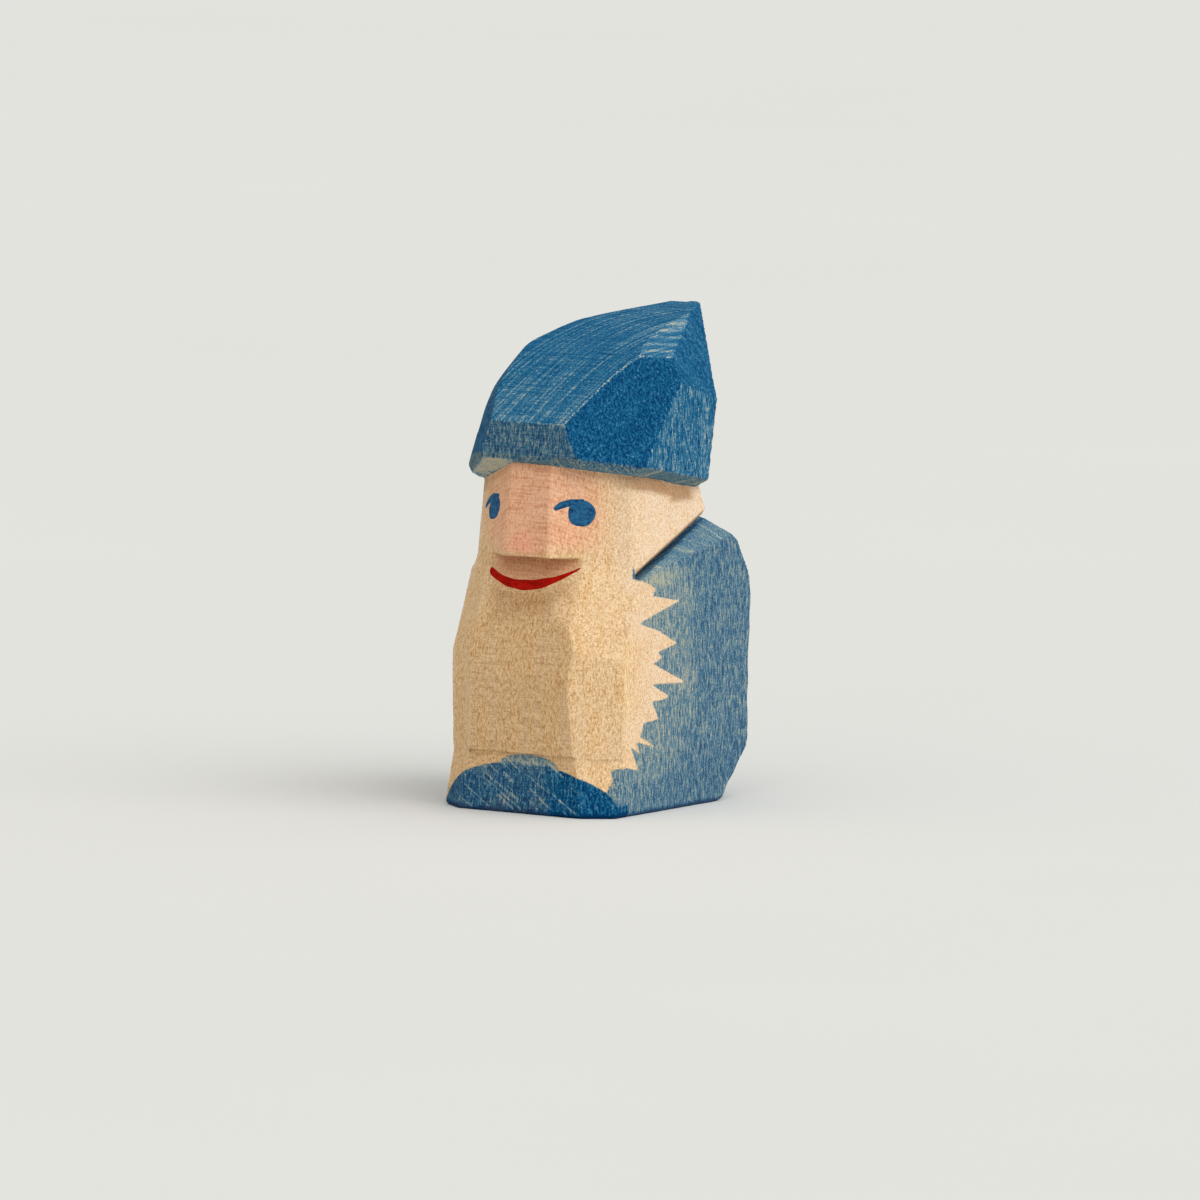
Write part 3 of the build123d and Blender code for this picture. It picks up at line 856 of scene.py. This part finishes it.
def stained_maple(t, g, depth, edge, thin):
    """Colour of the stained wood: soak runs from 0, where the wood greys it, to 1, full blue."""
    # Veins take more or less of it on side grain; the noise is centred on zero
    speck = add_node(t, "ShaderNodeMath", TIMES_PLUS, i0=g["vein"], i1=2.4, i2=-1.2)
    side_grain = add_node(t, "ShaderNodeMath", MINUS, i0=1.0, i1=g["end_grain"])
    speck = add_node(t, "ShaderNodeMath", TIMES, i0=speck, i1=side_grain)
    soak = add_node(t, "ShaderNodeMath", MINUS, i0=depth, i1=speck)
    # On end grain the hard rings stay light, broken by the saw lines
    streak = add_node(t, "ShaderNodeMapRange", SMOOTH, i0=g["ring"], i1=0.44, i2=0.66, i4=0.5)
    streak = add_node(t, "ShaderNodeMath", TIMES, i0=streak, i1=g["end_grain"])
    ridge = add_node(t, "ShaderNodeMapRange", SMOOTH, i0=g["saw"], i1=0.4, i2=0.62, i3=0.6, i4=1.0)
    streak = add_node(t, "ShaderNodeMath", TIMES, i0=streak, i1=ridge)
    soak = add_node(t, "ShaderNodeMath", MINUS, i0=soak, i1=streak)
    # Saw ridges on sawn faces, and grit everywhere, both centred on zero
    saw_light = add_node(t, "ShaderNodeMath", TIMES_PLUS, i0=g["saw"], i1=0.7, i2=-0.35)
    saw_light = add_node(t, "ShaderNodeMath", TIMES, i0=saw_light, i1=g["sawn"])
    soak = add_node(t, "ShaderNodeMath", MINUS, i0=soak, i1=saw_light)
    grit = add_node(t, "ShaderNodeMath", TIMES_PLUS, i0=g["fuzz"], i1=1.9, i2=-0.95)
    soak = add_node(t, "ShaderNodeMath", MINUS, i0=soak, i1=grit)
    soak = add_node(t, "ShaderNodeMath", MINUS, i0=soak, i1=foot_scratches(t, g))
    # Knife edges are rubbed bare in patches
    worn = add_node(t, "ShaderNodeMapRange", SMOOTH, i0=edge, i1=0.2, i2=0.04, i4=0.9)
    wear_patch = add_node(t, "ShaderNodeMapRange", SMOOTH, i0=g["fuzz"], i1=0.4, i2=0.62)
    worn = add_node(t, "ShaderNodeMath", TIMES, i0=worn, i1=wear_patch)
    soak = add_node(t, "ShaderNodeMath", MINUS, i0=soak, i1=worn)
    soak = add_node(t, "ShaderNodeMath", TIMES, i0=soak, i1=0.86)
    blue = add_node(t, "ShaderNodeValToRGB", i0=soak)
    stops = blue.node.color_ramp.elements
    stops[0].position, stops[0].color = 0.0, srgb("BDB79E")
    stops[1].position, stops[1].color = 1.0, srgb("023660")
    for at, code in ((0.19, "8AA0A6"), (0.41, "4B7D97"), (0.645, "1A648D"), (0.86, "034C78")):
        stops.new(at).color = srgb(code)
    greyed = add_node(t, "ShaderNodeMapRange", i0=soak, i1=0.8, i2=0.1, i3=0.08, i4=0.38)
    greyed = add_node(t, "ShaderNodeMath", TIMES, i0=greyed, i1=thin)
    return add_node(t, "ShaderNodeMix", COVER, out=2, i0=greyed, i6=blue, i7=srgb("A5A387"))


def maple_finish():
    """Maple, sawn to profile and knife-cut, left raw on the face and beard and water-stained blue
    on cap, coat and foot: pale satin wood with fine vertical flecks, saw lines across the sawn
    faces and growth rings that show as light streaks where the stain sits on end grain."""
    mat, t = new_material("knife_cut_maple_water_stained")
    g = maple_grain(t)
    stained, depth, edge, rosy, pale, shade_and_stain, thin = (
        add_node(t, "ShaderNodeAttribute", {"attribute_name": name}, out="Fac")
        for name in ("stained", "depth", "edge", "rosy", "pale", "shade_and_stain", "thin")
    )
    raw = raw_maple(t, g, rosy, pale)
    blue = stained_maple(t, g, depth, edge, thin)

    # The brushed edge of the stain, a little ragged, and the brown painted shade, with some old stain in it,
    # over both
    ragged = add_node(t, "ShaderNodeMath", TIMES_PLUS, i0=g["fleck"], i1=0.5, i2=-0.25)
    ragged = add_node(t, "ShaderNodeMath", PLUS, i0=ragged, i1=stained)
    covered = add_node(t, "ShaderNodeMapRange", SMOOTH, i0=ragged, i1=-0.07, i2=0.07)
    colour = add_node(t, "ShaderNodeMix", COVER, out=2, i0=covered, i6=raw, i7=blue)
    colour = add_node(t, "ShaderNodeMix", GLAZE, out=2, i0=shade_and_stain, i6=colour, i7=srgb("B79B80"))

    # Relief of 0.04 mm: flecks are pores, saw lines are ridges
    relief = add_node(t, "ShaderNodeMath", TIMES_PLUS, i0=g["saw"], i1=g["sawn"], i2=g["fleck"])
    relief = add_node(t, "ShaderNodeMath", TIMES_PLUS, i0=g["fuzz"], i1=0.6, i2=relief)
    bumped = add_node(t, "ShaderNodeBump", Strength=0.55, Distance=0.00004, Height=relief)
    roughness = add_node(t, "ShaderNodeMapRange", i0=g["fleck"], i1=0.3, i2=0.7, i3=0.72, i4=0.6)
    shader = add_node(
        t, "ShaderNodeBsdfPrincipled",
        Base_Color=colour, Roughness=roughness, IOR=1.47, Specular_IOR_Level=0.04, Normal=bumped,
    )
    add_node(t, "ShaderNodeOutputMaterial", Surface=shader)
    return mat


def gouache_finish(name, thin, thick):
    """Matt gouache brushed thinly over the wood: deep where it pooled, lighter along the wood's
    lines, where it lies thinner."""
    mat, t = new_material(name)
    mm = millimetres(t)
    # Lines of the wood under the paint, 0.35 mm apart, level
    at = add_node(t, "ShaderNodeMapping", Vector=mm, Scale=(0.5, 0.5, 3.0))
    line = add_node(t, "ShaderNodeTexNoise", Vector=at, Scale=1.0, Detail=2.0, Roughness=0.6)
    pool = add_node(t, "ShaderNodeTexNoise", Vector=mm, Scale=2.2, Detail=3.0, Roughness=0.65)
    body = add_node(t, "ShaderNodeMath", TIMES_PLUS, i0=line, i1=0.7, i2=pool)
    colour = add_node(t, "ShaderNodeValToRGB", i0=body)
    stops = colour.node.color_ramp.elements
    stops[0].position, stops[0].color = 0.62, srgb(thick)
    stops[1].position, stops[1].color = 1.1, srgb(thin)
    bumped = add_node(t, "ShaderNodeBump", Strength=0.5, Distance=0.00003, Height=body)
    shader = add_node(
        t, "ShaderNodeBsdfPrincipled",
        Base_Color=colour, Roughness=0.62, IOR=1.5, Specular_IOR_Level=0.06, Normal=bumped,
    )
    add_node(t, "ShaderNodeOutputMaterial", Surface=shader)
    return mat


# ---------------------------------------------------------------- the carved figure

points, quads = skin()
outward = gradient(points)
outward /= np.linalg.norm(outward, axis=1)[:, None]
carving = mesh_object("carved_block", points, quads, outward)
for key, values in finish_maps(points, outward).items():
    layer = carving.data.attributes.new(key, "FLOAT", "POINT")
    layer.data.foreach_set("value", values.astype(np.float32))
carving.data.materials.append(maple_finish())
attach(carving, "root")
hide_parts("carved_figure")

blue_gouache = gouache_finish("blue_gouache", "2F6C97", "083762")
red_gouache = gouache_finish("red_gouache", "B61204", "850601")
left_eye = eye_film(1, (6.7, -13.0, 39.0), 1.72, 1.78, 0.0, ((0.3, 1.28), (-2.1, 1.72), (-3.55, 0.5)))
right_eye = eye_film(-1, (-7.9, -12.1, 38.8), 1.62, 2.0, 0.5, ((1.4, 1.35), (-1.9, 1.75), (-3.8, -0.4)))
for name, node, film, finish, slot in (
    ("left_eye_dab", "left_eye_paint", left_eye, blue_gouache, "eye_paint"),
    ("right_eye_dab", "right_eye_paint", right_eye, blue_gouache, "eye_paint"),
    ("mouth_stroke", "mouth_paint", mouth_film(), red_gouache, "mouth_paint"),
):
    dab = mesh_object(name, *film)
    dab.data.materials.append(finish)
    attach(dab, "root")
    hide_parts(node)


# ---------------------------------------------------------------- studio

def floor_disc():
    """Level disc of 30 m radius: rings of points whose radius grows by a constant factor."""
    rings, turns = 24, 64
    innermost, outermost = 20.0, 30000.0
    radius = innermost * (outermost / innermost) ** np.linspace(0, 1, rings)
    angle = np.linspace(0, 2 * np.pi, turns, endpoint=False)
    x, y = np.outer(radius, np.cos(angle)), np.outer(radius, np.sin(angle))
    p = np.stack([x, y, np.zeros((rings, turns))], -1)
    p = np.concatenate([p.reshape(-1, 3), [[0.0, 0.0, 0.0]]])
    i = np.arange(rings * turns).reshape(rings, turns)
    j = np.roll(i, -1, axis=1)
    out = np.stack([i[:-1], i[1:], j[1:], j[:-1]], -1).reshape(-1, 4)
    # The middle is closed with quads that take two rim steps at a time
    k = i[0]
    inner = np.stack([np.full(turns // 2, rings * turns), k[0::2], k[1::2], np.roll(k[0::2], -1)], -1)
    return p, np.concatenate([out, inner])


def floor_finish():
    """Matt studio paper, pale grey, with the faintest mottle."""
    mat, t = new_material("matt_studio_paper")
    place = add_node(t, "ShaderNodeTexCoord", out="Object")
    mottle = add_node(t, "ShaderNodeTexNoise", Vector=place, Scale=9.0, Detail=2.0)
    colour = add_node(t, "ShaderNodeMix", COVER, out=2, i0=mottle, i6=srgb("DADBD9"), i7=srgb("DDDEDC"))
    shader = add_node(t, "ShaderNodeBsdfPrincipled", Base_Color=colour, Roughness=0.9, IOR=1.4)
    add_node(t, "ShaderNodeOutputMaterial", Surface=shader)
    return mat


floor = mesh_object("studio_floor", *floor_disc())
floor.data.materials.append(floor_finish())

world = bpy.data.worlds.new("studio_air")
world.use_nodes = True
air = world.node_tree
# A large soft source overhead to the figure's left: the air brightens smoothly towards it
way = add_node(air, "ShaderNodeTexCoord", out="Generated")
toward_light = add_node(air, "ShaderNodeVectorMath", DOT, out="Value", i0=way, i1=(0.4, 0.0, 0.917))
glow = add_node(air, "ShaderNodeMapRange", SMOOTH, i0=toward_light, i1=-0.3, i2=1.0, i3=0.21, i4=1.19)
air.nodes["Background"].inputs["Color"].default_value = srgb("F2F0EC")
air.links.new(glow, air.nodes["Background"].inputs["Strength"])
bpy.context.scene.world = world


def soft_sun(name, toward, strength, spread):
    """Even light from one direction; spread is the angle its source fills, in degrees."""
    lamp = bpy.data.lights.new(name, "SUN")
    lamp.energy = strength
    lamp.angle = math.radians(spread)
    obj = bpy.data.objects.new(name, lamp)
    obj.rotation_euler = Vector(toward).to_track_quat("Z", "Y").to_euler()
    bpy.context.scene.collection.objects.link(obj)


soft_sun("window_light", (0.76, 0.0, 0.84), 1.1, 50)

camera_data = bpy.data.cameras.new("view")
camera_data.sensor_width = 36.0
camera_data.lens = 450.0
camera_data.clip_start, camera_data.clip_end = 0.1, 100.0
camera = bpy.data.objects.new("view", camera_data)
looking_from = Vector((0.5798, -0.8069, 0.1132))
looking_at = Vector((0.17, 0.12, 26.15)) * MM
camera.location = looking_at + looking_from * 1.95
camera.rotation_euler = looking_from.to_track_quat("Z", "Y").to_euler()
bpy.context.scene.collection.objects.link(camera)
bpy.context.scene.camera = camera
bpy.context.scene.view_settings.view_transform = "Standard"
